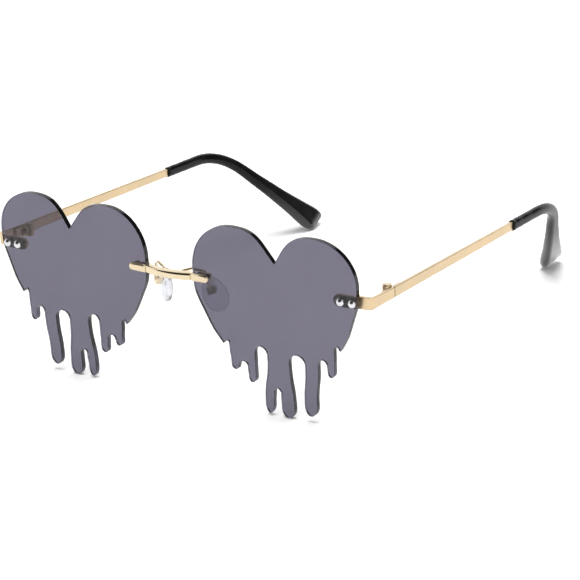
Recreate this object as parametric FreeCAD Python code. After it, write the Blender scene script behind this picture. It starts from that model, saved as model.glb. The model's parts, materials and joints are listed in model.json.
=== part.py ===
"""Rimless sunglasses with dripping heart lenses. Each piece is a separate solid, in millimetres, +Z up.

The front faces -Y, the temples run back along +Y and the wearer's left side is +X. The left side is
drawn in the lens frame: X runs outwards from the middle of the bridge, Y runs back from the lens's front
face and Z runs up from the lowest drip. The wrap angle then turns it into place, and the right side is
its mirror image.
"""
import FreeCAD, Part
import math
import os

from FreeCAD import Placement, Rotation, Vector

# Lens: a flat plate, cut as a heart whose lower edge drips
lens_width = 58.8
lens_height = 60.0
lens_thickness = 1.8
lens_spacing = 18.0
wrap_angle = 1.4
round_share = 0.5523

# Upper edge of the lens from the cleft outwards, down to the notch beside the first drip. A row holds a
# place, in shares of the lens's width and height, and the headings of the edge before and after it, in
# degrees.
outer_edge_shares = (
    (0.513, 0.833, 308, 60),
    (0.752, 1.000, 0, 0),
    (1.000, 0.775, 270, 270),
    (0.964, 0.590, 250, 250),
    (0.883, 0.420, 238, 135),
    (0.860, 0.443, 180, 180),
    (0.846, 0.412, 270, 270),
)
# Lower edge from the outer side inwards. A row is one turn, a drip's tip or the top of a gap: its outer
# flank, middle and inner flank in shares of the width, then its end and the rise from there to its flanks
# in shares of the height. A gap's rise is negative.
lower_edge_shares = (
    (0.842, 0.820, 0.800, 0.268, 0.032),
    (0.799, 0.771, 0.744, 0.356, -0.036),
    (0.725, 0.685, 0.649, 0.034, 0.060),
    (0.664, 0.611, 0.567, 0.356, -0.048),
    (0.584, 0.546, 0.506, 0.000, 0.054),
    (0.506, 0.482, 0.464, 0.155, -0.026),
    (0.458, 0.432, 0.407, 0.010, 0.056),
    (0.434, 0.391, 0.358, 0.370, -0.044),
    (0.357, 0.332, 0.311, 0.164, 0.030),
    (0.307, 0.276, 0.255, 0.273, -0.022),
    (0.252, 0.233, 0.207, 0.220, 0.027),
)
# Inner edge from the notch beside the last drip up over the inner lobe, in rows like the upper edge's
inner_edge_shares = (
    (0.200, 0.350, 90, 90),
    (0.187, 0.374, 180, 180),
    (0.165, 0.353, 225, 129),
    (0.066, 0.500, 117, 117),
    (0.000, 0.750, 90, 90),
    (0.248, 1.000, 0, 0),
)

# Fasteners through the lens, in clear top-hat bushings
shaft_radius = 0.6
bush_wall = 0.29
bush_flange_radius = 1.2
bush_flange = 0.25
fit_clearance = 0.03
head_radius = 1.35
head_height = 0.85
nut_height = 1.1
nut_flats = 2.5
cap_nut_radius = 1.2
shaft_proud = 0.3
cut_overrun = 1.0

# Outer pair of screws, on one level line
screw_level_share = 0.688
screw_edge = 2.0
screw_spacing = 4.1

# Bridge: a bar that bows forward, and on each side a neck and a flat paddle on the front of the lens
bridge_level_share = 0.697
bar_half_height = 1.15
bar_depth = 2.5
bar_front = 0.75
bar_bow = 1.4
bar_edge_gap = 0.45
bar_round = 0.35
bar_brow_round = 0.9
neck_front = 0.7
neck_half_height = 0.95
neck_run = 1.6
neck_round = 0.3
paddle_half_height = 1.3
paddle_thickness = 1.2
paddle_lap = 6.1
paddle_edge_gap = 0.1
paddle_round = 0.75
stud_inset = 1.6
stud_spacing = 2.6

# Endpiece: a strip behind the lens, bent back to the hinge
plate_thickness = 1.1
plate_height = 4.0
plate_tail = 3.0
side_overhang = 4.0
corner_radius = 2.0
arm_height = 3.5
seam_depth = 15.5
seam_gap = 0.12
drop_angle = 2.7

# Hinge: two front knuckles and one on the temple, on one screw
barrel_radius = 1.5
barrel_stand = 0.15
knuckle_height = 1.26
knuckle_gap = 0.05
leaf_thickness = 0.7
leaf_length = 3.4
leaf_height = 2.8
leaf_gap = 0.45
pin_head_radius = 1.3
pin_head_height = 0.45

# Temple strip and the flat core inside its tip
temple_thickness = 1.1
temple_height = 3.25
temple_mouth_height = 2.7
temple_length = 76.0
core_height = 1.7
core_thickness = 0.9
core_length = 50.0
core_steps = 10
loft_degree = 3

# Temple tip: a sleeve that bends down and inwards and widens into a paddle
sleeve_run = 17.5
sleeve_bend_radius = 28.0
sleeve_bend_angle = 47.5
sleeve_lean = 29.5
tip_run = 38.80
sleeve_height = 3.6
sleeve_thickness = 2.7
tip_width = 10.2
tip_thickness = 3.8
tip_slant = 20.0

# Sections of the sleeve: distance as a share of its whole length, then how far its height and thickness
# have grown from the mouth's to the paddle's, as shares
sleeve_section_shares = (
    (0.00, 0.00, 0.00),
    (0.01, 0.00, 0.00),
    (0.03, 0.00, 0.00),
    (0.06, 0.00, 0.00),
    (0.10, 0.00, 0.01),
    (0.14, 0.00, 0.02),
    (0.18, 0.00, 0.03),
    (0.22, 0.01, 0.05),
    (0.26, 0.01, 0.08),
    (0.30, 0.02, 0.11),
    (0.35, 0.03, 0.15),
    (0.40, 0.05, 0.20),
    (0.48, 0.10, 0.30),
    (0.56, 0.17, 0.42),
    (0.64, 0.26, 0.56),
    (0.72, 0.38, 0.72),
    (0.80, 0.55, 0.88),
    (0.87, 0.76, 1.00),
    (0.93, 0.96, 1.00),
    (0.97, 0.97, 0.60),
    (0.99, 0.80, -0.20),
    (1.00, 0.50, -1.20),
)

# Nose pads, on wire arms from the back of the bridge
arm_wire_radius = 0.45
arm_root_inset = 4.95
arm_root_rise = 0.2
arm_root_run = 2.2
arm_crest_out = 3.4
arm_crest_depth = 4.0
arm_crest_rise = 1.1
arm_shoulder_out = 6.2
arm_shoulder_depth = 6.4
arm_shoulder_fall = 0.2
arm_bend_radius = 1.0
pad_out = 6.9
pad_depth = 8.1
pad_fall = 6.6
pad_yaw = 32.0
pad_splay = 18.0
pad_height = 12.0
pad_width = 8.0
pad_thickness = 2.8
pad_drop = 2.6
pad_widest_share = 0.58
pad_round = 1.0
box_width = 2.6
box_height = 2.2
box_depth = 2.2
tab_width = 1.4
tab_radius = 0.7
tab_length = 1.6
pad_core_height = 4.0
pad_core_width = 3.0
pad_core_thickness = 0.6
pad_core_depth = 0.6
pad_screw_radius = 0.4
pad_screw_head_radius = 0.75
pad_screw_head_height = 0.35

# Sizes that follow from those above
lens_start = lens_spacing / 2
lens_end = lens_start + lens_width
screw_height = lens_height * screw_level_share
bridge_height = lens_height * bridge_level_share
bar_end = lens_start - bar_edge_gap
bar_radius = (bar_end**2 + bar_bow**2) / (2 * bar_bow)
bar_brow = bar_front + bar_bow
bar_back = bar_depth - bar_brow
paddle_start = lens_start - paddle_edge_gap
paddle_reach = lens_start + paddle_lap
side_reach = lens_end + side_overhang
arm_root = bar_end - arm_root_inset
arm_crest = Vector(arm_root + arm_crest_out, arm_crest_depth, bridge_height + arm_crest_rise)
arm_shoulder = Vector(arm_root + arm_shoulder_out, arm_shoulder_depth, bridge_height - arm_shoulder_fall)
pad_pivot = Vector(arm_root + pad_out, pad_depth, bridge_height - pad_fall)
bush_radius = shaft_radius + fit_clearance + bush_wall
bore_radius = shaft_radius + fit_clearance
seat_depth = lens_thickness + bush_flange
screw_places = (lens_end - screw_edge - screw_spacing, lens_end - screw_edge)
stud_places = (paddle_reach - stud_inset - stud_spacing, paddle_reach - stud_inset)
plate_back = seat_depth + plate_thickness
arm_inside = side_reach - plate_thickness
pin_offset = barrel_radius + barrel_stand
pin_out = arm_inside - pin_offset
barrel_height = 3 * knuckle_height + 2 * knuckle_gap
hinge_drop = (seam_depth - plate_back) * math.tan(math.radians(drop_angle))
hinge_place = Vector(pin_out, seam_depth, screw_height - hinge_drop)
hinge_frame = Placement(hinge_place, Rotation(Vector(1, 0, 0), -drop_angle))
strip_middle = pin_offset + temple_thickness / 2
pad_turn = Rotation(Vector(0, 0, 1), pad_yaw) * Rotation(Vector(0, 1, 0), -pad_splay)
pad_frame = Placement(pad_pivot, pad_turn)
back = Vector(0, 1, 0)
up = Vector(0, 0, 1)
out = Vector(1, 0, 0)


def face_of(edges):
    """A flat face inside a closed run of edges."""
    return Part.Face(Part.Wire(edges))


def polygon(points):
    """A flat face inside straight sides."""
    return Part.Face(Part.makePolygon(list(points) + [points[0]]))


def box(one, other):
    """A box between two opposite corners, in either order."""
    low = Vector(min(one.x, other.x), min(one.y, other.y), min(one.z, other.z))
    span = one - other
    return Part.makeBox(abs(span.x), abs(span.y), abs(span.z), low)


def rod(radius, start, direction, length):
    return Part.makeCylinder(radius, length, start, direction)


def turned(points, place):
    """A solid of revolution about the line through place that runs back. A point is (radius, depth)."""
    corners = [place + Vector(radius, depth, 0) for radius, depth in points]
    return polygon(corners).revolve(place, back, 360)


def stadium(length_start, length_end, half_height, level):
    """A strip with one round end, in the front view at depth zero."""
    nose = length_end - half_height
    low_start = Vector(length_start, 0, level - half_height)
    low_end = Vector(nose, 0, level - half_height)
    high_end = Vector(nose, 0, level + half_height)
    high_start = Vector(length_start, 0, level + half_height)
    return face_of(
        [
            Part.makeLine(low_start, low_end),
            Part.Arc(low_end, Vector(length_end, 0, level), high_end).toShape(),
            Part.makeLine(high_end, high_start),
            Part.makeLine(high_start, low_start),
        ]
    )


def heading(angle):
    """A direction in the lens's plane: 0 points outwards and 90 up."""
    turn = math.radians(angle)
    return Vector(math.cos(turn), 0, math.sin(turn))


def curve_between(start, end, leaving, arriving):
    """A curve that leaves and arrives at the given headings, a quarter ellipse when they are square."""
    chord = end - start
    first = start + heading(leaving) * (round_share * abs(chord.dot(heading(leaving))))
    second = end - heading(arriving) * (round_share * abs(chord.dot(heading(arriving))))
    curve = Part.BezierCurve()
    curve.setPoles([start, first, second, end])
    return curve.toShape()


def lens_outline():
    """The dripping heart: every turn of the lower edge becomes its two flanks and its end."""
    rows = list(outer_edge_shares)
    for outer, middle, inner, end, rise in lower_edge_shares:
        falling = 270 if rise > 0 else 90
        rising = 90 if rise > 0 else 270
        rows.append((outer, end + rise, falling, falling))
        rows.append((middle, end, 180, 180))
        rows.append((inner, end + rise, rising, rising))
    rows.extend(inner_edge_shares)
    places = [Vector(lens_start + u * lens_width, 0, v * lens_height) for u, v, _, _ in rows]
    edges = []
    for index, row in enumerate(rows):
        after = (index + 1) % len(rows)
        edges.append(curve_between(places[index], places[after], row[3], rows[after][2]))
    return edges


def make_lens():
    lens = face_of(lens_outline()).extrude(back * lens_thickness)
    hole_radius = bush_radius + fit_clearance
    depth = lens_thickness + 2 * cut_overrun
    for x, z in [(x, screw_height) for x in screw_places] + [(x, bridge_height) for x in stud_places]:
        lens = lens.cut(rod(hole_radius, Vector(x, -cut_overrun, z), back, depth))
    return lens


def make_bushings(places, level):
    """Clear top-hat bushings: a sleeve in each lens hole and a flange on the lens's back."""
    profile = (
        (bore_radius, 0),
        (bush_radius, 0),
        (bush_radius, lens_thickness),
        (bush_flange_radius, lens_thickness),
        (bush_flange_radius, seat_depth),
        (bore_radius, seat_depth),
    )
    return Part.makeCompound([turned(profile, Vector(x, 0, level)) for x in places])


def make_lens_screws():
    """Dome-headed screws from the front, through the lens and the endpiece."""
    tail = plate_back + nut_height + shaft_proud
    sphere_radius = (head_radius**2 + head_height**2) / (2 * head_height)
    screws = []
    for x in screw_places:
        place = Vector(x, 0, screw_height)
        ball = Part.makeSphere(sphere_radius, place + back * (sphere_radius - head_height))
        front = head_height + cut_overrun
        slab = rod(head_radius + cut_overrun, place - back * front, back, front)
        screws.append(ball.common(slab).fuse(rod(shaft_radius, place, back, tail)).removeSplitter())
    return Part.makeCompound(screws)


def make_lens_nuts():
    """Hexagon nuts behind the endpiece's plate."""
    nut_corner = nut_flats / 2 / math.cos(math.radians(30))
    nuts = []
    for x in screw_places:
        place = Vector(x, plate_back, screw_height)
        corners = [place + heading(60 * side) * nut_corner for side in range(6)]
        bore = rod(bore_radius, place - back * cut_overrun, back, nut_height + 2 * cut_overrun)
        nuts.append(polygon(corners).extrude(back * nut_height).cut(bore))
    return Part.makeCompound(nuts)


def make_bridge_nuts():
    """Round cap nuts on the bridge's studs."""
    profile = (
        (bore_radius, seat_depth),
        (cap_nut_radius, seat_depth),
        (cap_nut_radius, seat_depth + nut_height),
        (bore_radius, seat_depth + nut_height),
    )
    return Part.makeCompound([turned(profile, Vector(x, 0, bridge_height)) for x in stud_places])


def make_bar():
    """The bridge's bar: a rounded section, turned about an upright line behind it."""
    low = bridge_height - bar_half_height
    high = bridge_height + bar_half_height
    start = Vector(0, (bar_back - bar_brow) / 2, low)
    corners = [
        Vector(0, bar_back, low),
        Vector(0, bar_back, high),
        Vector(0, -bar_brow, high),
        Vector(0, -bar_brow, low),
    ]
    rounds = (bar_round, bar_round, bar_brow_round, bar_round)
    section = Part.Face(rounded_path([start] + corners + [start], rounds))
    axis = Vector(0, bar_radius - bar_brow, 0)
    sweep = math.degrees(math.asin(bar_end / bar_radius))
    section.rotate(axis, up, -sweep)
    return section.revolve(axis, up, 2 * sweep)


def round_front(plate, thickness, radius):
    """Round the front edges of a plate whose back lies at depth zero."""
    edges = [edge for edge in plate.Edges if edge.BoundBox.YMax < -thickness / 2]
    return plate.makeFillet(radius, edges)


def make_bridge_side():
    """The bridge's left neck, paddle and studs, in the lens frame."""
    low = Vector(bar_end - neck_run, -neck_front, bridge_height - neck_half_height)
    high = Vector(paddle_start + neck_run, 0, bridge_height + neck_half_height)
    neck = round_front(box(low, high), neck_front, neck_round)
    paddle = stadium(paddle_start, paddle_reach, paddle_half_height, bridge_height)
    paddle = round_front(paddle.extrude(back * -paddle_thickness), paddle_thickness, paddle_round)
    side = neck.fuse(paddle)
    stud_length = paddle_thickness / 2 + seat_depth + nut_height + shaft_proud
    for x in stud_places:
        start = Vector(x, -paddle_thickness / 2, bridge_height)
        side = side.fuse(rod(shaft_radius, start, back, stud_length))
    return side


def make_bridge():
    """The bar and both its sides in one casting. The wrap angle turns the sides but not the bar."""
    side = in_place(make_bridge_side())
    return make_bar().fuse([side, mirrored(side)]).removeSplitter()


def in_hinge_frame(along, height):
    """A point of the hinge's side view, in the lens frame's side view."""
    return hinge_frame.multVec(Vector(-pin_out, along, height))


def make_endpiece():
    """A bent strip: its plan, side and front views, each drawn out and kept where all three meet."""
    start = screw_places[0] - plate_tail
    inner_radius = corner_radius - plate_thickness
    turn = math.radians(45)
    centre = Vector(side_reach - corner_radius, seat_depth + corner_radius, 0)
    diagonal = Vector(math.sin(turn), -math.cos(turn), 0)
    tail = seam_depth + temple_height
    front_start = Vector(start, seat_depth, 0)
    front_end = Vector(centre.x, seat_depth, 0)
    outer_start = Vector(side_reach, centre.y, 0)
    outer_end = Vector(side_reach, tail, 0)
    inner_end = Vector(arm_inside, tail, 0)
    inner_start = Vector(arm_inside, centre.y, 0)
    back_end = Vector(centre.x, plate_back, 0)
    back_start = Vector(start, plate_back, 0)
    plan = face_of(
        [
            Part.makeLine(front_start, front_end),
            Part.Arc(front_end, centre + diagonal * corner_radius, outer_start).toShape(),
            Part.makeLine(outer_start, outer_end),
            Part.makeLine(outer_end, inner_end),
            Part.makeLine(inner_end, inner_start),
            Part.Arc(inner_start, centre + diagonal * inner_radius, back_end).toShape(),
            Part.makeLine(back_end, back_start),
            Part.makeLine(back_start, front_start),
        ]
    )
    plan.translate(up * (screw_height - plate_height))
    strip = plan.extrude(up * (2 * plate_height))
    half = plate_height / 2
    knee = seat_depth + corner_radius
    seam = -seam_gap / 2
    side = polygon(
        [
            Vector(0, seat_depth - cut_overrun, screw_height - half),
            Vector(0, plate_back, screw_height - half),
            Vector(0, knee, screw_height - arm_height / 2),
            in_hinge_frame(seam, -temple_height / 2),
            in_hinge_frame(seam, temple_height / 2),
            Vector(0, knee, screw_height + arm_height / 2),
            Vector(0, plate_back, screw_height + half),
            Vector(0, seat_depth - cut_overrun, screw_height + half),
        ]
    )
    side.translate(out * (start - cut_overrun))
    strip = strip.common(side.extrude(out * (side_reach - start + 2 * cut_overrun)))
    front = stadium(-side_reach - cut_overrun, -start, half, screw_height)
    front = front.mirror(Vector(0, 0, 0), out)
    tall = polygon(
        [
            Vector(arm_inside - corner_radius, 0, screw_height - plate_height),
            Vector(side_reach + cut_overrun, 0, screw_height - plate_height),
            Vector(side_reach + cut_overrun, 0, screw_height + plate_height),
            Vector(arm_inside - corner_radius, 0, screw_height + plate_height),
        ]
    )
    depth = back * (tail + cut_overrun)
    strip = strip.common(front.extrude(depth).fuse(tall.extrude(depth)))
    for x in screw_places:
        hole = rod(bore_radius, Vector(x, 0, screw_height), back, plate_back + cut_overrun)
        strip = strip.cut(hole)
    return strip.removeSplitter()


def make_hinge_leaf(levels, side):
    """Knuckles at the given levels, webs and a plate. Side is -1 in front of the seam and 1 behind it."""
    web_end = side * (barrel_radius + leaf_gap)
    plate_end = web_end + side * leaf_length
    lap_end = web_end + side * leaf_thickness
    inside = pin_offset - leaf_thickness
    half = leaf_height / 2
    leaf = box(Vector(inside, web_end, -half), Vector(pin_offset, plate_end, half))
    for level in levels:
        low = level - knuckle_height / 2
        high = level + knuckle_height / 2
        leaf = leaf.fuse(rod(barrel_radius, Vector(0, 0, low), up, knuckle_height))
        leaf = leaf.fuse(box(Vector(0, side * seam_gap / 2, low), Vector(pin_offset, web_end, high)))
        leaf = leaf.fuse(box(Vector(inside, web_end, low), Vector(pin_offset, lap_end, high)))
    bore = rod(bore_radius, Vector(0, 0, -barrel_height), up, 2 * barrel_height)
    return at_hinge(leaf.cut(bore).removeSplitter())


def make_hinge_screw():
    """The hinge's screw, whose head sits on the top knuckle."""
    low = -barrel_height / 2
    shaft = rod(shaft_radius, Vector(0, 0, low), up, barrel_height)
    head = rod(pin_head_radius, Vector(0, 0, barrel_height / 2), up, pin_head_height)
    return at_hinge(shaft.fuse(head).removeSplitter())


def sleeve_frame(distance):
    """Centre, height direction and thickness direction of the sleeve at a distance from its mouth."""
    bend_length = sleeve_bend_radius * math.radians(sleeve_bend_angle)
    on_bend = min(max(distance - sleeve_run, 0), bend_length)
    bent = on_bend / sleeve_bend_radius
    straight = min(distance, sleeve_run)
    beyond = max(distance - sleeve_run - bend_length, 0)
    along = straight + sleeve_bend_radius * math.sin(bent) + beyond * math.cos(bent)
    fall = sleeve_bend_radius * (1 - math.cos(bent)) + beyond * math.sin(bent)
    lean = math.radians(sleeve_lean)
    down = Vector(-math.sin(lean), 0, -math.cos(lean))
    centre = Vector(strip_middle, temple_length, 0) + back * along + down * fall
    twist = math.radians(sleeve_lean) * min(distance / (sleeve_run + bend_length), 1)
    leaned_down = Vector(-math.sin(twist), 0, -math.cos(twist))
    high = back * math.sin(bent) - leaned_down * math.cos(bent)
    wide = Vector(math.cos(twist), 0, -math.sin(twist))
    return centre, high, wide


def ring(distance, height, thickness, slant):
    """A closed section of the sleeve: two flat sides and two round ends. A slant lets its top run ahead."""
    centre, high, wide = sleeve_frame(distance)
    high = high + high.cross(wide) * math.tan(slant)
    side = wide * (thickness / 2)
    flat = high * ((height - thickness) / 2)
    end = high * (height / 2)
    edges = [
        Part.makeLine(centre + side - flat, centre + side + flat),
        Part.Arc(centre + side + flat, centre + end, centre - side + flat).toShape(),
        Part.makeLine(centre - side + flat, centre - side - flat),
        Part.Arc(centre - side - flat, centre - end, centre + side - flat).toShape(),
    ]
    return Part.Wire(edges)


def slab_ring(distance, height, thickness):
    """A closed rectangular section of the core."""
    centre, high, wide = sleeve_frame(distance)
    side = wide * (thickness / 2)
    end = high * (height / 2)
    corners = [centre + side - end, centre + side + end, centre - side + end, centre - side - end]
    return Part.makePolygon(corners + [corners[0]])


def core_solid(growth):
    """The flat core along the sleeve, larger all round by the growth."""
    end = core_length + growth
    places = [end * step / core_steps for step in range(core_steps + 1)]
    rings = [slab_ring(place, core_height + 2 * growth, core_thickness + 2 * growth) for place in places]
    return Part.makeLoft(rings, True, False, False, loft_degree)


def make_temple_tip():
    """The black sleeve over the temple's end, with a pocket for the core."""
    bend_length = sleeve_bend_radius * math.radians(sleeve_bend_angle)
    length = sleeve_run + bend_length + tip_run
    rings = []
    for along, height_share, thickness_share in sleeve_section_shares:
        height = sleeve_height + (tip_width - sleeve_height) * height_share
        thickness = sleeve_thickness + (tip_thickness - sleeve_thickness) * thickness_share
        rings.append(ring(along * length, height, thickness, math.radians(tip_slant) * along**2))
    sleeve = Part.makeLoft(rings, True, False, False, loft_degree)
    return at_hinge(sleeve.cut(core_solid(fit_clearance)))


def make_temple():
    """The flat strip from the hinge's seam to the sleeve, and the core beyond it."""
    seam = seam_gap / 2
    side = polygon(
        [
            Vector(pin_offset, seam, -temple_height / 2),
            Vector(pin_offset, temple_length, -temple_mouth_height / 2),
            Vector(pin_offset, temple_length, temple_mouth_height / 2),
            Vector(pin_offset, seam, temple_height / 2),
        ]
    )
    strip = side.extrude(out * temple_thickness)
    core = core_solid(0)
    return at_hinge(strip.fuse(core).removeSplitter())


def rounded_path(points, radii):
    """Straight runs joined by tangent arcs. There is one radius for each point between the ends."""
    edges = []
    start = points[0]
    for index, radius in enumerate(radii, 1):
        corner = points[index]
        before = (points[index - 1] - corner).normalize()
        after = (points[index + 1] - corner).normalize()
        half_angle = before.getAngle(after) / 2
        reach = radius / math.tan(half_angle)
        first = corner + before * reach
        last = corner + after * reach
        inward = (before + after).normalize()
        middle = corner + inward * (radius / math.sin(half_angle) - radius)
        edges.append(Part.makeLine(start, first))
        edges.append(Part.Arc(first, middle, last).toShape())
        start = last
    edges.append(Part.makeLine(start, points[-1]))
    return Part.Wire(edges)


def make_pad_arm():
    """A bent wire from the back of the bridge to the open box that holds the pad's tab."""
    root = Vector(arm_root, bar_back, bridge_height + arm_root_rise)
    gap = tab_radius + fit_clearance
    half = box_width / 2
    top = box_height / 2
    front = gap - box_depth
    holder = box(Vector(-half, front, -top), Vector(half, -gap, top))
    cheek = half - tab_width / 2 - fit_clearance
    for side in (-half, half):
        inner = math.copysign(half - cheek, side)
        holder = holder.fuse(box(Vector(side, front, -top), Vector(inner, tab_radius, top)))
    hole = rod(pad_screw_radius + fit_clearance, Vector(-box_width, 0, 0), out, 2 * box_width)
    holder = holder.cut(hole)
    holder.Placement = pad_frame.multiply(holder.Placement)
    wire_depth = -gap - arm_wire_radius
    wall_middle = pad_frame.multVec(Vector(0, wire_depth, 0))
    wall_top = pad_frame.multVec(Vector(0, wire_depth, box_height + arm_bend_radius))
    points = [root, root + back * arm_root_run, arm_crest, arm_shoulder, wall_top, wall_middle]
    path = rounded_path(points, [arm_bend_radius] * (len(points) - 2))
    profile = Part.Wire(Part.makeCircle(arm_wire_radius, root, back))
    bar = make_bar()
    bar.rotate(Vector(0, 0, 0), up, -wrap_angle)
    wire = path.makePipeShell([profile], True, False).cut(bar)
    return wire.fuse(holder).removeSplitter()


def make_pad_core():
    """The pad's mount: a tab with a hole, on a small plate inside the pad."""
    tab = box(Vector(-tab_width / 2, 0, -tab_radius), Vector(tab_width / 2, tab_length, tab_radius))
    tab = tab.fuse(rod(tab_radius, Vector(-tab_width / 2, 0, 0), out, tab_width))
    tab = tab.cut(rod(pad_screw_radius + fit_clearance, Vector(-tab_width, 0, 0), out, 2 * tab_width))
    first = Vector(-pad_core_width / 2, tab_length, -pad_core_height / 2)
    last = Vector(pad_core_width / 2, tab_length + pad_core_thickness, pad_core_height / 2)
    return at_pad(tab.fuse(box(first, last)).removeSplitter())


def make_nose_pad():
    """A clear teardrop pad, rounded all over, moulded round its mount."""
    top = Vector(0, 0, pad_height / 2 - pad_drop)
    bottom = Vector(0, 0, -pad_height / 2 - pad_drop)
    widest = top.z + (bottom.z - top.z) * pad_widest_share
    right = Vector(pad_width / 2, 0, widest)
    left = Vector(-pad_width / 2, 0, widest)
    edges = [
        curve_between(top, right, 0, 270),
        curve_between(right, bottom, 270, 180),
        curve_between(bottom, left, 180, 90),
        curve_between(left, top, 90, 0),
    ]
    pad = face_of(edges)
    pad.translate(back * (tab_length - pad_core_depth))
    pad = pad.extrude(back * pad_thickness)
    rims = [edge for edge in pad.Edges if edge.BoundBox.YLength < pad_round / 2]
    pad = pad.makeFillet(pad_round, rims)
    gap = Vector(fit_clearance, fit_clearance, fit_clearance)
    slot = Vector(tab_width / 2, tab_length, tab_radius)
    pad = pad.cut(box(Vector(-slot.x, 0, -slot.z) - gap, slot + gap))
    first = Vector(-pad_core_width / 2, tab_length, -pad_core_height / 2)
    last = Vector(pad_core_width / 2, tab_length + pad_core_thickness, pad_core_height / 2)
    return at_pad(pad.cut(box(first - gap, last + gap)))


def make_pad_screw():
    """The small screw through the box and the pad's tab."""
    shaft = rod(pad_screw_radius, Vector(-box_width / 2, 0, 0), out, box_width)
    head = rod(pad_screw_head_radius, Vector(box_width / 2, 0, 0), out, pad_screw_head_height)
    return at_pad(shaft.fuse(head).removeSplitter())


def at_hinge(shape):
    shape.Placement = hinge_frame.multiply(shape.Placement)
    return shape


def at_pad(shape):
    shape.Placement = pad_frame.multiply(shape.Placement)
    return shape


def in_place(shape):
    """Turn a piece from the lens frame to its place on the left side."""
    shape.rotate(Vector(0, 0, 0), up, wrap_angle)
    return shape


def mirrored(shape):
    return shape.mirror(Vector(0, 0, 0), out)


knuckle_step = knuckle_height + knuckle_gap
left_side = {
    "lens": make_lens(),
    "bridge_bushings": make_bushings(stud_places, bridge_height),
    "bridge_nuts": make_bridge_nuts(),
    "lens_bushings": make_bushings(screw_places, screw_height),
    "lens_screws": make_lens_screws(),
    "lens_nuts": make_lens_nuts(),
    "endpiece": make_endpiece(),
    "hinge_front_leaf": make_hinge_leaf((-knuckle_step, knuckle_step), -1),
    "hinge_screw": make_hinge_screw(),
    "hinge_temple_leaf": make_hinge_leaf((0,), 1),
    "temple": make_temple(),
    "temple_tip": make_temple_tip(),
    "pad_arm": make_pad_arm(),
    "pad_screw": make_pad_screw(),
    "pad_core": make_pad_core(),
    "nose_pad": make_nose_pad(),
}
pieces = {"bridge": make_bridge()}
for name, piece in left_side.items():
    pieces[name + "_left"] = in_place(piece)
    pieces[name + "_right"] = mirrored(piece)

# The origin lies on the floor under the middle of the whole part
whole = Part.makeCompound(list(pieces.values())).optimalBoundingBox(False, False)
home = Vector(0, -(whole.YMin + whole.YMax) / 2, -whole.ZMin)
os.makedirs("parts", exist_ok=True)
for name, piece in pieces.items():
    piece.translate(home)
    piece.exportStep("parts/" + name + ".step")

wrap = Rotation(up, wrap_angle)
for name, frame, axis in (("hinge", hinge_frame, up), ("nose pad", pad_frame, out)):
    place = wrap.multVec(frame.Base) + home
    direction = wrap.multVec(frame.Rotation.multVec(axis))
    print(name, "left: place", place, "axis", direction)
print("origin moved by", home, "sizes", whole.XLength, whole.YLength, whole.ZLength)
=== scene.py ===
# %% [markdown]
# # Dripping-heart sunglasses
# This lesson dresses the solids of a pair of rimless sunglasses for a close look. The solids arrive as a fixed
# frame in metres: +Z is up, the front faces -Y and the wearer's left is +X. Every new piece is modelled in that
# same frame, so nothing has to be fitted by eye.

# %% Load the solids
import json
import math

import bmesh
import bpy
from mathutils import Matrix, Vector


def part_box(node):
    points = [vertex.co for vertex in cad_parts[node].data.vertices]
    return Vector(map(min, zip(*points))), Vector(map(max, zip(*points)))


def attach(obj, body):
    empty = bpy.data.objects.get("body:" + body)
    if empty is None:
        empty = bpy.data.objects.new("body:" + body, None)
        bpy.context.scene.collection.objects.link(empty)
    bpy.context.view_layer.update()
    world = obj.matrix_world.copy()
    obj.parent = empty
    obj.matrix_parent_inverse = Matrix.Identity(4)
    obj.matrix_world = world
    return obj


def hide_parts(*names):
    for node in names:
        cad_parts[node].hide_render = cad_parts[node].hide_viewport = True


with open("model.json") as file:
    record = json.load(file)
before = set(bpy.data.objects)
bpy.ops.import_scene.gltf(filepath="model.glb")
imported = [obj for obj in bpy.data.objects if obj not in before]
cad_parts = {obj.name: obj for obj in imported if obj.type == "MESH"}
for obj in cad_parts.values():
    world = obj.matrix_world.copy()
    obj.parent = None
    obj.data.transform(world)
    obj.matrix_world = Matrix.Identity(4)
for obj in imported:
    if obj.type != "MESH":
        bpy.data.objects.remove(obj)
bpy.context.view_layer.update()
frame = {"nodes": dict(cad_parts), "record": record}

MM = 0.001
nodes = frame["nodes"]

# %% [markdown]
# ## Colours on the screen
# The picture is a catalogue shot on white. The Standard view keeps white paper white and shows each colour as the
# materials state it, while a film-like view would grey the paper.

# %% View
scene = bpy.context.scene
scene.view_settings.view_transform = "Standard"
print("view", scene.view_settings.view_transform)

# %% [markdown]
# ## Camera
# The shot was taken from the front left of the wearer, a little above, with a long lens, and the camera was tipped
# slightly. A camera can be set by eye, but this one was fitted to the two lens outlines, so its angles have odd
# values. The three turns are applied in order: round the part, down to it, and the small tip about its own axis.

# %% Camera
orbit, rise, tip = math.radians(34.798), math.radians(20.477), math.radians(-3.512)
stand = Vector((0.463296, -0.680252, 0.316763))
sensor, zoom = 36.0, 4.5
camera_data = bpy.data.cameras.new("camera")
camera_data.sensor_width = sensor
camera_data.lens = sensor * zoom
camera_data.clip_start = 0.05
camera_data.clip_end = 20.0
camera = bpy.data.objects.new("camera", camera_data)
turn = Matrix.Rotation(orbit, 4, "Z") @ Matrix.Rotation(math.pi / 2 - rise, 4, "X") @ Matrix.Rotation(tip, 4, "Z")
camera.matrix_world = Matrix.Translation(stand) @ turn
scene.collection.objects.link(camera)
bpy.context.scene.camera = camera
print("camera stands", round(stand.length / MM), "mm from the part's middle")

# %% [markdown]
# ## Light
# Light and finishes are node trees. Three helpers make them short to write: a node is made and its inputs are filled
# in one line, each with a plain value or with the output of another node. The light is a world, which knows the
# direction of every ray that misses the part. Lamps and cards could stand round the part, but a world needs no
# objects and can answer each kind of ray in its own way.

# %% Studio world


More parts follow.
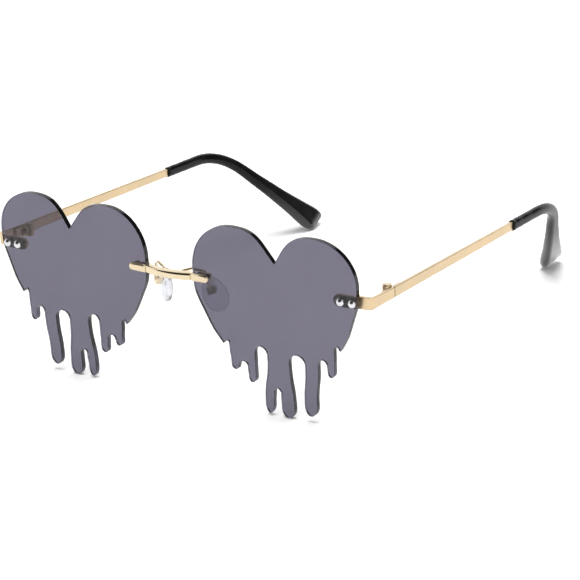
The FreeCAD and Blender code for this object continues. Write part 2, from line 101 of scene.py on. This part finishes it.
def fill(tree, socket, value):
    """Feed an input with another node's output, or set it to a number, a vector or a colour."""
    if isinstance(value, bpy.types.NodeSocket):
        tree.links.new(value, socket)
    elif socket.type == "RGBA":
        socket.default_value = (*value, 1.0)
    else:
        socket.default_value = value


def feed(tree, node, **inputs):
    """Fill a node's inputs by name. A space in an input's name is written as an underscore."""
    for name, value in inputs.items():
        fill(tree, node.inputs[name.replace("_", " ")], value)


def add(tree, kind, **inputs):
    """Make a node and fill its inputs."""
    node = tree.nodes.new("ShaderNode" + kind)
    feed(tree, node, **inputs)
    return node


studio = bpy.data.worlds.new("studio")
studio.use_nodes = True
scene.world = studio
tree = studio.node_tree
tree.nodes.clear()
sky = add(tree, "TexCoord").outputs["Generated"]
print("world", studio.name)

# %% [markdown]
# Small polished metal is a mirror, so what it shows is the room. Mirrors see a white studio with two darker parts. The
# unlit room above the camera draws the dark lines on the bridge and the dark spots on the domed screws. The dim corner
# behind the part keeps the black sleeves black.

# %% What mirrors see
upward, backward = (0.0, 0.0, 1.0), (0.0, 1.0, 0.0)
above_camera, upper_left = (-0.05, -0.60, 0.80), (0.707, 0.0, 0.707)
mirror_level = 1.1


def combine(tree, operation, *values, kind="Math", result="Value"):
    """One sum of the values, in the order of the node's inputs."""
    node = add(tree, kind)
    node.operation = operation
    for socket, value in zip(node.inputs, values):
        fill(tree, socket, value)
    return node.outputs[result]


def facing(tree, direction, axis):
    """How far a direction or a place lies along an axis."""
    return combine(tree, "DOT_PRODUCT", direction, axis, kind="VectorMath")


def graded(tree, value, *stops):
    """Read a value off a ramp between two stops, each a place on the ramp and a level of grey."""
    node = add(tree, "ValToRGB", Fac=value)
    for element, (place, level) in zip(node.color_ramp.elements, stops):
        element.position = place
        element.color = (level, level, level, 1.0)
    return node.outputs["Color"]


unlit = graded(tree, facing(tree, sky, above_camera), (0.66, 1.0), (0.74, 0.04))
beside = graded(tree, facing(tree, sky, upper_left), (0.38, 0.0), (0.48, 0.9))
behind = graded(tree, facing(tree, sky, backward), (0.40, 0.0), (0.60, 1.0))
corner = combine(tree, "SUBTRACT", 1.0, combine(tree, "MULTIPLY", beside, behind))
mirrored = combine(tree, "MULTIPLY", combine(tree, "MINIMUM", unlit, corner), mirror_level)
print("mirrored room has", len(tree.nodes), "nodes")

# %% [markdown]
# The light itself comes from a round softbox straight overhead and a weak glow all round, which gives the thin shadows
# under the drips. The camera sees a white backdrop.

# %% What lights the part
glow, softbox, backdrop = 0.5, 6.2, 1.18
softbox_rim, softbox_core = 0.925, 0.96


def span(tree, value, low, high, start=0.0, end=1.0):
    """Stretch a value that runs from start to end, so that it runs from low to high."""
    node = add(tree, "MapRange", Value=value, From_Min=start, From_Max=end, To_Min=low, To_Max=high)
    return node.outputs["Result"]


overhead = span(tree, facing(tree, sky, upward), glow, softbox, softbox_rim, softbox_core)
path = add(tree, "LightPath").outputs
pictured = add(tree, "Mix", Factor=path["Is Camera Ray"], A=overhead, B=backdrop).outputs["Result"]
room = add(tree, "Mix", Factor=path["Is Glossy Ray"], A=pictured, B=mirrored).outputs["Result"]
shine = add(tree, "Background", Color=(1.0, 1.0, 1.0), Strength=room)
add(tree, "OutputWorld", Surface=shine.outputs["Background"])
print("softbox reaches", round(math.degrees(math.acos(softbox_rim)), 1), "degrees from the zenith")

# %% [markdown]
# ## Floor
# The part stands on a sheet of white paper. It is exposed so brightly that only its deepest shadows show. Through the
# lenses and in the metal it is less bright and glows a little, as a lit sweep does, so those keep their own tones.

# %% Floor
floor_half = 4.0
floor_mesh = bpy.data.meshes.new("floor")
bm = bmesh.new()
bmesh.ops.create_grid(bm, x_segments=1, y_segments=1, size=floor_half)
bm.to_mesh(floor_mesh)
bm.free()
floor = bpy.data.objects.new("floor", floor_mesh)
scene.collection.objects.link(floor)
paper = bpy.data.materials.new("floor_paper")
paper.use_nodes = True
tree = paper.node_tree
seen = add(tree, "LightPath").outputs["Is Camera Ray"]
sheet = tree.nodes["Principled BSDF"]
feed(tree, sheet, Emission_Color=(1.0, 1.0, 1.0), Roughness=0.9, Specular_IOR_Level=0.1)
feed(tree, sheet, Base_Color=span(tree, seen, 0.62, 1.28), Emission_Strength=span(tree, seen, 0.46, 0.0))
floor_mesh.materials.append(paper)
print("floor", 2 * floor_half, "m wide")

# %% [markdown]
# ## Finishes
# Two effects serve several finishes, so each is a node group. Haze is the soft mottling that handling leaves on any
# polished surface. Hairlines are the fine parallel scratches of brushed metal: noise squeezed hard in two directions
# and left long in the third.

# %% Haze group


def new_group(name, outs, **ins):
    """An empty node group with Coordinates and named values going in, what goes in, and its output node."""
    group = bpy.data.node_groups.new(name, "ShaderNodeTree")
    group.interface.new_socket(name="Coordinates", in_out="INPUT", socket_type="NodeSocketVector")
    for socket, value in ins.items():
        kind = "NodeSocketFloat" if isinstance(value, float) else "NodeSocketVector"
        group.interface.new_socket(name=socket, in_out="INPUT", socket_type=kind).default_value = value
    for socket in outs:
        group.interface.new_socket(name=socket, in_out="OUTPUT", socket_type="NodeSocketFloat")
    return group, group.nodes.new("NodeGroupInput").outputs, group.nodes.new("NodeGroupOutput")


haze, given, result = new_group("haze", ["Mask", "Fine"], Patches=120.0, Specks=2500.0)
broad = add(haze, "TexNoise", Vector=given["Coordinates"], Scale=given["Patches"], Detail=4.0, Roughness=0.6)
fine = add(haze, "TexNoise", Vector=given["Coordinates"], Scale=given["Specks"], Detail=2.0, Roughness=0.5)
soft = graded(haze, broad.outputs["Fac"], (0.38, 0.0), (0.66, 1.0))
feed(haze, result, Mask=soft, Fine=fine.outputs["Fac"])
print("group", haze.name, "with", len(haze.nodes), "nodes")

# %% Hairline group
hairline, given, result = new_group("hairline", ["Lines"], Squeeze=(6000.0, 60.0, 6000.0))
squeezed = combine(
    hairline, "MULTIPLY", given["Coordinates"], given["Squeeze"], kind="VectorMath", result="Vector",
)
scratches = add(hairline, "TexNoise", Vector=squeezed, Scale=1.0, Detail=3.0, Roughness=0.65)
feed(hairline, result, Lines=scratches.outputs["Fac"])
print("group", hairline.name, "with", len(hairline.nodes), "nodes")

# %% [markdown]
# ## Tinted lenses
# A finish starts from a Principled shader whose plain values are set on its own sockets. Only what varies over the
# surface comes through nodes. Each finish is kept under the name of its material slot.
#
# The lenses are sheet plastic, dyed all through. So the tint is an absorption inside the lens and not a colour on its
# surface: light that runs along the sheet comes out of the edge much darker, as on the real one. The surface itself
# is clear, with a trace of haze.

# %% Tinted lens
finishes = {}


def new_finish(name, **plain):
    """A material with its shader's plain values set: its node tree, its shader and its Object coordinates."""
    material = bpy.data.materials.new(name)
    material.use_nodes = True
    finishes[name] = material
    tree = material.node_tree
    shader = tree.nodes["Principled BSDF"]
    feed(tree, shader, **plain)
    return tree, shader, add(tree, "TexCoord").outputs["Object"]


def use_group(tree, group, **inputs):
    """Place a node group in a material, fill its inputs and return its outputs."""
    node = add(tree, "Group")
    node.node_tree = group
    feed(tree, node, **inputs)
    return node.outputs


def blend(tree, factor, first, second):
    """A colour that goes from the first to the second as the factor goes from 0 to 1."""
    node = add(tree, "Mix")
    node.data_type = "RGBA"
    # The node has sockets for numbers, vectors and colours. Its colours are inputs 6 and 7 and output 2.
    for place, value in ((0, factor), (6, first), (7, second)):
        fill(tree, node.inputs[place], value)
    return node.outputs[2]


white = (1.0, 1.0, 1.0)
tree, shader, place = new_finish("tinted_lens", Transmission_Weight=1.0, IOR=1.49)
mask = use_group(tree, haze, Coordinates=place, Patches=60.0)["Mask"]
feed(tree, shader, Base_Color=blend(tree, mask, (0.96, 0.96, 0.97), white), Roughness=span(tree, mask, 0.0, 0.012))
dye = add(tree, "VolumeAbsorption", Color=(0.04, 0.0, 0.165), Density=985.0)
feed(tree, tree.nodes["Material Output"], Volume=dye.outputs["Volume"])
print("finish tinted_lens with", len(tree.nodes), "nodes")

# %% [markdown]
# ## Clear plastics
# The nose pads are soft silicone, slightly milky. The bushings in the lens holes and the cores of the pads are clear
# hard plastic. What a clear plastic doesn't let pass, it scatters, so one function with a share of passing light makes
# both. A bump of a hundredth of a millimetre breaks up the highlights.

# %% Clear plastics


def bump(tree, height, strength, depth):
    """A normal that follows a height. The depth is in millimetres."""
    return add(tree, "Bump", Height=height, Strength=strength, Distance=depth * MM).outputs["Normal"]


def clear(name, tone, gloss, ior, passing):
    """Clear plastic that lets a share of the light pass and scatters the rest."""
    tree, shader, place = new_finish(name, Transmission_Weight=passing, IOR=ior)
    mottle = use_group(tree, haze, Coordinates=place, Patches=300.0, Specks=3000.0)
    feed(tree, shader, Base_Color=blend(tree, mottle["Mask"], tone, white))
    feed(tree, shader, Roughness=span(tree, mottle["Mask"], *gloss), Normal=bump(tree, mottle["Fine"], 0.1, 0.01))
    print("finish", name, "with", len(tree.nodes), "nodes")


clear("clear_pad", tone=(0.88, 0.91, 0.98), gloss=(0.08, 0.16), ior=1.41, passing=0.88)
clear("clear_plastic", tone=(0.93, 0.94, 0.96), gloss=(0.02, 0.06), ior=1.5, passing=1.0)

# %% [markdown]
# ## Black sleeves
# The sleeves are black moulded plastic with a low gloss. Fingers and hair polish the last two centimetres of the
# tips, so a clear coat fades in there with the height above the floor. A second material for the tip would leave a
# hard line.

# %% Black sleeve
polished_below, dull_above = 7 * MM, 20 * MM
deep_black, worn_black = (0.004, 0.004, 0.0045), (0.009, 0.009, 0.010)
tree, shader, place = new_finish("black_sleeve", IOR=1.3, Coat_Roughness=0.05)
mottle = use_group(tree, haze, Coordinates=place, Patches=160.0, Specks=4000.0)
coat = span(tree, facing(tree, place, upward), 1.0, 0.0, polished_below, dull_above)
feed(tree, shader, Base_Color=blend(tree, mottle["Mask"], deep_black, worn_black), Coat_Weight=coat)
feed(tree, shader, Roughness=span(tree, mottle["Mask"], 0.09, 0.16), Normal=bump(tree, mottle["Fine"], 0.15, 0.01))
print("finish black_sleeve with", len(tree.nodes), "nodes, polished up to", round(dull_above / MM), "mm")

# %% [markdown]
# ## Metals
# The strips are plated and brushed along their length, the bridge and the wires are plated and polished, and the small
# screws are bright steel. The colour drifts with the haze, and haze and hairlines together make the roughness. Rounded
# edges carry an attribute named edge, where plating is burnished paler. Where two strips meet, the attribute named seam
# darkens their edges with painted shade for the shadowed gap, and with grime that gathers in the joint. One function
# makes all three metals, since they differ only in colour, gloss and the direction of their scratches.

# %% Metals
# Grime and painted shade for the dark gap where two strips meet.
grime_and_shade = (0.05, 0.035, 0.02)
edge_burnish, haze_share, scratch_share, scratch_strength = 0.6, 0.35, 0.65, 0.4


def attribute(tree, name):
    """A value that is stored on the mesh."""
    node = add(tree, "Attribute")
    node.attribute_name = name
    return node.outputs["Fac"]


def plated(name, dark, light, burnished, gloss, squeeze, depth):
    """Plated metal: haze in the colour, hairlines in the roughness and bump, burnished edges, and seams darkened with
    grime and painted shade.
    """
    tree, shader, place = new_finish(name, Metallic=1.0)
    mask = use_group(tree, haze, Coordinates=place)["Mask"]
    lines = use_group(tree, hairline, Coordinates=place, Squeeze=squeeze)["Lines"]
    worn = span(tree, attribute(tree, "edge"), 0.0, edge_burnish)
    plating = blend(tree, worn, blend(tree, mask, dark, light), burnished)
    rough = combine(tree, "MULTIPLY_ADD", mask, haze_share, span(tree, lines, 0.0, scratch_share))
    # The seam attribute mixes in grime and painted shade at the joint.
    feed(tree, shader, Base_Color=blend(tree, attribute(tree, "seam"), plating, grime_and_shade))
    feed(tree, shader, Roughness=span(tree, rough, *gloss), Normal=bump(tree, lines, scratch_strength, depth))
    print("finish", name, "with", len(tree.nodes), "nodes")


plated(
    "satin_gold", dark=(0.70, 0.545, 0.342), light=(0.78, 0.595, 0.37), burnished=(0.90, 0.74, 0.50),
    gloss=(0.2, 0.36), squeeze=(5000.0, 40.0, 5000.0), depth=0.01,
)
plated(
    "polished_gold", dark=(0.76, 0.635, 0.44), light=(0.835, 0.70, 0.485), burnished=(0.95, 0.84, 0.64),
    gloss=(0.05, 0.12), squeeze=(1500.0, 1500.0, 1500.0), depth=0.002,
)
plated(
    "bright_steel", dark=(0.70, 0.70, 0.72), light=(0.80, 0.80, 0.82), burnished=(0.9, 0.9, 0.92),
    gloss=(0.08, 0.2), squeeze=(2500.0, 2500.0, 2500.0), depth=0.002,
)

# %% [markdown]
# ## From solid to piece
# Every finished piece goes into the scene in the same way: it is shaded smooth apart from its creases, takes the finish
# of its slot, rides on the body of the solid that it stands for, and replaces that solid. A Weighted Normal modifier
# keeps the large faces looking flat next to fine roundings.

# %% Placing a piece
record = frame["record"]
bodies = {node: body for body, members in record["behaviour"]["bodies"].items() for node in members}


def place_piece(bm, node, slot, crease=180.0):
    """Turn a finished bmesh into a piece that stands for a solid. Edges above the crease angle stay sharp."""
    mesh = bpy.data.meshes.new(node + "_look")
    bm.to_mesh(mesh)
    bm.free()
    mesh.shade_smooth()
    mesh.set_sharp_from_angle(angle=math.radians(crease))
    mesh.materials.append(finishes[slot])
    piece = bpy.data.objects.new(node + "_look", mesh)
    scene.collection.objects.link(piece)
    normals = piece.modifiers.new("flat_faces", "WEIGHTED_NORMAL")
    normals.weight = 90
    normals.keep_sharp = True
    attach(piece, bodies[node])
    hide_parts(node)
    print(piece.name, len(mesh.polygons), "faces")


# %% [markdown]
# ## Bridge
# The bridge is cast with its own roundings, so its solid only has to be welded, and its creases stay sharp in the
# shading. Welding closes the seams between the triangles of the solid. Triangles that lie in one plane are then merged
# into whole faces.

# %% Bridge
weld, flat_angle = 0.0005 * MM, math.radians(0.05)


def welded(node, merge=True):
    """A copy of a solid with its seams closed and its flat triangles merged."""
    bm = bmesh.new()
    bm.from_mesh(nodes[node].data)
    bmesh.ops.remove_doubles(bm, verts=bm.verts, dist=weld)
    if merge:
        bmesh.ops.dissolve_limit(bm, angle_limit=flat_angle, verts=bm.verts, edges=bm.edges)
    return bm


place_piece(welded("bridge"), "bridge", "polished_gold", crease=32.0)

# %% [markdown]
# ## Rounded edges
# Real edges catch light because none is perfectly sharp, so every sharp edge gets a fine rounding with the bevel
# operator. A Bevel modifier would round them too, but the operator hands back its new faces, which are marked in the
# edge attribute.
#
# The lenses are cut from sheet with a small safety chamfer. The leaves and wires are stamped or drawn and then tumbled,
# which rounds their edges by about a tenth of a millimetre. The black sleeves are moulded, so the rim of the mouth is
# softer. Their skin is curved everywhere, so none of their triangles are merged.

# %% Rounded pieces
exact, sharp_angle = 0.00001 * MM, math.radians(35.0)


def round_edges(bm, width, back=math.inf):
    """Round the sharp edges that don't lie wholly behind a depth, by a width in millimetres, and mark them."""
    mark = bm.verts.layers.float.new("edge")
    edges = [e for e in bm.edges if e.is_manifold and e.calc_face_angle() > sharp_angle]
    edges = [e for e in edges if min(vert.co.y for vert in e.verts) < back]
    made = bmesh.ops.bevel(
        bm, geom=edges, offset=width * MM, offset_type="OFFSET", affect="EDGES", segments=2, profile=0.5,
        material=-1, clamp_overlap=False,
    )
    fresh = set(made["faces"])
    for vert in made["verts"]:
        if fresh.issuperset(vert.link_faces):
            vert[mark] = 1.0
    bmesh.ops.remove_doubles(bm, verts=bm.verts, dist=exact)
    return bm


roundings = {
    "lens": ("tinted_lens", 0.12),
    "bridge_bushings": ("clear_plastic", 0.03),
    "lens_bushings": ("clear_plastic", 0.03),
    "hinge_front_leaf": ("satin_gold", 0.08),
    "hinge_temple_leaf": ("satin_gold", 0.08),
    "temple_tip": ("black_sleeve", 0.3),
    "pad_arm": ("polished_gold", 0.06),
    "pad_core": ("clear_plastic", 0.05),
}
for base, (slot, width) in roundings.items():
    for side in ("left", "right"):
        node = f"{base}_{side}"
        place_piece(round_edges(welded(node, merge=slot != "black_sleeve"), width), node, slot)

# %% [markdown]
# The endpiece and the temple are the two strips that meet at the hinge. Their meeting edges lie so close together that
# little light gets in, and grime does, so those edges are darkened with painted shade and grime. The temple's core is
# hidden in its sleeve and stays as it is: the rounding ends where the sleeve begins.

# %% Strips
strip_rounding, seam_reach = 0.16, 0.5 * MM


def darken_seam(bm, end):
    """Mark the rounded edges near a strip's front (-1) or back (1) end, where grime and painted shade darken the joint.
    """
    edge = bm.verts.layers.float["edge"]
    seam = bm.verts.layers.float.new("seam")
    reach = max(vert.co.y * end for vert in bm.verts) - seam_reach
    for vert in bm.verts:
        if vert[edge] and vert.co.y * end > reach:
            vert[edge], vert[seam] = 0.0, 1.0
    return bm


for side in ("left", "right"):
    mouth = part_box(f"temple_tip_{side}")[0][1]
    for base, end, back in (("endpiece", 1, math.inf), ("temple", -1, mouth)):
        node = f"{base}_{side}"
        place_piece(darken_seam(round_edges(welded(node), strip_rounding, back), end), node, "satin_gold")

# %% [markdown]
# ## Turned pieces
# Screws and nuts come from a lathe. Each starts as half of its outline, a chain of edges from the axis to the rim and
# back, and the spin operator carries that chain once round the axis. A dome is an arc: one vertex spun about the middle
# of the dome's sphere.
#
# Two domed screws hold each lens to its endpiece. The dome is 2.7 mm across and 0.85 mm high. The shank runs through
# the lens, the bushing and the plate, and its last turns of thread stand proud of the nut. They are plain grooves,
# because no one sees the rise of so fine a thread.

# %% Domed screws
dome_radius, dome_height, dome_steps = 1.35, 0.85, 12
shank_radius, shank_length, tip_taper = 0.6, 4.55, 0.1
thread_depth, thread_step, thread_start, thread_count = 0.07, 0.05, 0.55, 8
sphere = (dome_radius**2 + dome_height**2) / (2 * dome_height)


def chain(bm, start, *points):
    """Go on from a vertex through (radius, height) points in millimetres and return the last vertex."""
    for radius, height in points:
        vert = bm.verts.new((radius * MM, 0.0, height * MM))
        if start:
            bm.edges.new((start, vert))
        start = vert
    return start


def arc(bm, start, height, sweep, steps):
    """Sweep a vertex about a point of the axis and return the last vertex."""
    made = bmesh.ops.spin(
        bm, geom=[start], cent=(0.0, 0.0, height * MM), axis=(0.0, 1.0, 0.0), angle=sweep, steps=steps,
    )
    return [item for item in made["geom_last"] if isinstance(item, bmesh.types.BMVert)][0]


def turned(bm, steps=48):
    """Spin the outline once round the axis and close it."""
    outline = bm.verts[:] + bm.edges[:]
    bmesh.ops.spin(bm, geom=outline, cent=(0, 0, 0), axis=(0, 0, 1), angle=math.tau, steps=steps, use_merge=True)
    bmesh.ops.remove_doubles(bm, verts=bm.verts, dist=weld)
    bmesh.ops.recalc_face_normals(bm, faces=bm.faces)
    return bm


def domed_screw():
    """A screw with its dome's foot on the origin and its shank below."""
    bm = bmesh.new()
    top = chain(bm, None, (0.0, dome_height))
    rim = arc(bm, top, dome_height - sphere, math.asin(dome_radius / sphere), dome_steps)
    lands = [shank_radius - thread_depth * (step % 2) for step in range(thread_count)]
    thread = [(land, thread_start - shank_length - thread_step * step) for step, land in enumerate(lands)]
    chain(bm, rim, (shank_radius, 0.0), *thread, (shank_radius - tip_taper, -shank_length), (0.0, -shank_length))
    return turned(bm)


lens_screws = {side: domed_screw() for side in ("left", "right")}
print("domed screws of", [len(bm.faces) for bm in lens_screws.values()], "faces")

# %% [markdown]
# A turned piece stands upright on the origin at first. It is doubled where two of its kind sit side by side, and then
# seated: its height is laid along the axis of its hole, and its place is taken from the middle of its solids' box. The
# lenses are turned by 1.4 degrees, so the pieces in their holes are too.

# %% Seated screws
wrap, screw_spacing = math.radians(1.4), 4.1


def seat(bm, place, axis, across):
    """Stand a piece at a place with its height along the axis and its X across."""
    high = axis.normalized()
    wide = (across - high * across.dot(high)).normalized()
    turn = Matrix((wide, high.cross(wide), high)).transposed().to_4x4()
    bmesh.ops.transform(bm, matrix=Matrix.Translation(place) @ turn, verts=bm.verts)
    return bm


def paired(bm, spacing):
    """Set a second piece beside the first one, both the same way from the middle."""
    twin = bmesh.ops.duplicate(bm, geom=bm.verts[:] + bm.edges[:] + bm.faces[:])
    moved = [item for item in twin["geom"] if isinstance(item, bmesh.types.BMVert)]
    bmesh.ops.translate(bm, vec=(spacing * MM, 0, 0), verts=moved)
    bmesh.ops.translate(bm, vec=(-spacing * MM / 2, 0, 0), verts=bm.verts)
    return bm


def middle(node):
    """The middle of a solid's box."""
    low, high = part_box(node)
    return (Vector(low) + Vector(high)) / 2


lens_axes = {}
for side, sign in (("left", 1), ("right", -1)):
    axis = Vector((sign * math.sin(wrap), -math.cos(wrap), 0.0))
    across = Vector((sign * math.cos(wrap), math.sin(wrap), 0.0))
    lens_axes[side] = axis, across
    node = f"lens_screws_{side}"
    front = middle(node) + axis * ((shank_length - dome_height) / 2 * MM)
    screws = seat(paired(lens_screws[side], screw_spacing), front, axis, across)
    place_piece(screws, node, "bright_steel", crease=40.0)

# %% [markdown]
# The nuts behind the plate are hexagons 2.5 mm across the flats. A nut is turned as a chamfered ring first and milled
# afterwards: six cuts with the bisect operator take away what lies outside each flat, and every cut is closed again.
# That order gives the curved chamfer lines that real nuts have.

# %% Hexagon nuts
nut_half, nut_flat, nut_bore = 0.55, 1.25, 0.61
nut_mouth, nut_corner, nut_chamfer = 0.1, 0.22, 0.13


def ring_of(*outline):
    """A turned ring from a closed outline of (radius, height) points."""
    bm = bmesh.new()
    first = chain(bm, None, outline[0])
    bm.edges.new((chain(bm, first, *outline[1:]), first))
    return turned(bm)


def milled(bm, distance, outward):
    """Cut a solid at a distance from the axis, keep what lies inside and close the cut."""
    everything = bm.verts[:] + bm.edges[:] + bm.faces[:]
    cut = bmesh.ops.bisect_plane(
        bm, geom=everything, dist=exact, plane_co=outward * distance * MM, plane_no=outward, clear_outer=True,
    )
    bmesh.ops.holes_fill(bm, edges=[item for item in cut["geom_cut"] if isinstance(item, bmesh.types.BMEdge)])


lower = [
    (nut_bore, nut_mouth - nut_half), (nut_bore + nut_mouth, -nut_half),
    (nut_flat, -nut_half), (nut_flat + nut_corner, nut_chamfer - nut_half),
]
upper = [(radius, -height) for radius, height in reversed(lower)]
for side, (axis, across) in lens_axes.items():
    node = f"lens_nuts_{side}"
    nut = ring_of(*lower, *upper)
    for step in range(6):
        milled(nut, nut_flat, Vector((math.cos(step * math.pi / 3), math.sin(step * math.pi / 3), 0.0)))
    nuts = seat(paired(nut, screw_spacing), middle(node), axis, across)
    place_piece(nuts, node, "bright_steel", crease=25.0)

# %% [markdown]
# The nuts on the bridge's studs are round caps with a recess for a pin spanner, since they lie close together. Their
# edges are rounded with the same helper as the stamped pieces.

# %% Round nuts
cap_radius, cap_rounding, recess_radius, recess_depth, stud_spacing = 1.2, 0.1, 0.86, 0.18, 2.6
recess_floor = recess_depth - nut_half
for side, (axis, across) in lens_axes.items():
    node = f"bridge_nuts_{side}"
    nut = ring_of(
        (nut_bore, nut_half), (nut_bore, recess_floor), (recess_radius, recess_floor),
        (recess_radius, -nut_half), (cap_radius, -nut_half), (cap_radius, nut_half),
    )
    nuts = seat(paired(round_edges(nut, cap_rounding), stud_spacing), middle(node), axis, across)
    place_piece(nuts, node, "polished_gold")

# %% [markdown]
# The hinge screws and the pad screws are the axles of their joints, so the record's joints say where each one sits. A
# blank is turned first: a cylindrical head on a shaft, with its edges rounded.

# %% Screw blanks
screw_sizes = {
    "temple": {"head": 1.3, "head_height": 0.45, "shaft": 0.6, "reach": 1.94},
    "pad": {"head": 0.75, "head_height": 0.35, "shaft": 0.4, "reach": 1.3},
}
rounding_share = 0.3


def screw_blank(head, head_height, shaft, reach):
    """A screw without its slot. The shaft reaches as far up as down from the origin."""
    bm = bmesh.new()
    top = reach + head_height
    chain(bm, None, (0.0, top), (head, top), (head, reach), (shaft, reach), (shaft, -reach), (0.0, -reach))
    return round_edges(turned(bm), min(head_height, shaft) * rounding_share)


joints = record["behaviour"]["joints"]
blanks = {joint["name"]: screw_blank(**screw_sizes[joint["name"].split("_")[0]]) for joint in joints}
print("screw blanks of", [len(bm.faces) for bm in blanks.values()], "faces")

# %% [markdown]
# A saw cuts the slot across the turned head. Three planes mark the slot's two walls and its floor on the head, the skin
# between them is taken away, and the three faces of the slot are closed again. A Boolean modifier would also leave one
# closed skin, but with a cutter to look after. The hinge screw goes in from above, and the pad screw from the outer
# side of its box.

# %% Sawn slots
slot_sizes = {"temple": (0.42, 0.26), "pad": (0.24, 0.18)}
near = 0.001 * MM


def slotted(bm, top, width, depth):
    """Saw a slot across a turned screw's head. Sizes are in millimetres."""
    half, bottom = width / 2 * MM, (top - depth) * MM
    for place, normal in (((-half, 0, 0), (1, 0, 0)), ((half, 0, 0), (1, 0, 0)), ((0, 0, bottom), (0, 0, 1))):
        everything = bm.verts[:] + bm.edges[:] + bm.faces[:]
        bmesh.ops.bisect_plane(bm, geom=everything, dist=exact, plane_co=place, plane_no=normal)
    middles = {face: face.calc_center_median() for face in bm.faces}
    sawn = [face for face, spot in middles.items() if abs(spot.x) < half and spot.z > bottom]
    bmesh.ops.delete(bm, geom=sawn, context="FACES")
    rim = [edge for edge in bm.edges if edge.is_boundary]
    flat = [edge for edge in rim if max(abs(vert.co.z - bottom) for vert in edge.verts) < near]
    for sign in (-1, 1):
        wall = [edge for edge in rim if min(vert.co.x * sign for vert in edge.verts) > half - near]
        ends = {vert for edge in wall for vert in edge.verts} & {vert for edge in flat for vert in edge.verts}
        foot = bm.edges.new(sorted(ends, key=lambda vert: vert.co.y))
        bmesh.ops.contextual_create(bm, geom=wall + [foot])
        flat.append(foot)
    bmesh.ops.contextual_create(bm, geom=flat)
    bmesh.ops.recalc_face_normals(bm, faces=bm.faces)
    return bm


for joint in joints:
    kind, side = joint["name"].split("_")[:2]
    top = screw_sizes[kind]["reach"] + screw_sizes[kind]["head_height"]
    screw = slotted(blanks[joint["name"]], top, *slot_sizes[kind])
    sign, axis = 1 if side == "left" else -1, Vector(joint["axis"])
    if kind == "temple":
        node, slot = f"hinge_screw_{side}", "polished_gold"
        axis, across = axis if axis.z > 0 else -axis, Vector((sign * 0.82, 0.57, 0.0))
    else:
        node, slot = f"pad_screw_{side}", "bright_steel"
        axis, across = axis * sign, Vector((0.0, 0.6, 0.8))
    place_piece(seat(screw, Vector(joint["pos_m"]), axis, across), node, slot, crease=35.0)

# %% [markdown]
# ## Nose pads
# A nose pad is soft silicone, moulded round its mount. It is a flattened drop: 8 mm wide, 12 mm high, 2.8 mm thick and
# narrower at the top, with full edges and crowned faces. A subdivided box would do, but a sphere with its poles on the
# faces is pressed into that shape with two short sums. Its frame comes from the joint that the pad rocks on, so it sits
# on its screw.

# %% Soft pads
pad_width, pad_height, pad_thick = 8.0, 12.0, 2.8
pad_narrowing, pad_fullness, pad_offset = 0.14, 0.55, Vector((0.0, 2.4, -2.6))
for joint in joints:
    kind, side = joint["name"].split("_")[:2]
    if kind != "pad":
        continue
    bm = bmesh.new()
    bmesh.ops.create_uvsphere(bm, u_segments=64, v_segments=32, radius=1.0)
    bmesh.ops.rotate(bm, cent=(0, 0, 0), matrix=Matrix.Rotation(math.pi / 2, 3, "X"), verts=bm.verts)
    for vert in bm.verts:
        full = math.copysign(abs(vert.co.y) ** pad_fullness, vert.co.y)
        vert.co = vert.co.x * (1 - pad_narrowing * vert.co.z), full, vert.co.z
    bmesh.ops.scale(bm, vec=Vector((pad_width, pad_thick, pad_height)) * (MM / 2), verts=bm.verts)
    bmesh.ops.translate(bm, vec=pad_offset * MM, verts=bm.verts)
    wide = Vector(joint["axis"]).normalized()
    deep = Vector(upward).cross(wide).normalized()
    seat(bm, Vector(joint["pos_m"]), wide.cross(deep), wide)
    place_piece(bm, f"nose_pad_{side}", "clear_pad")
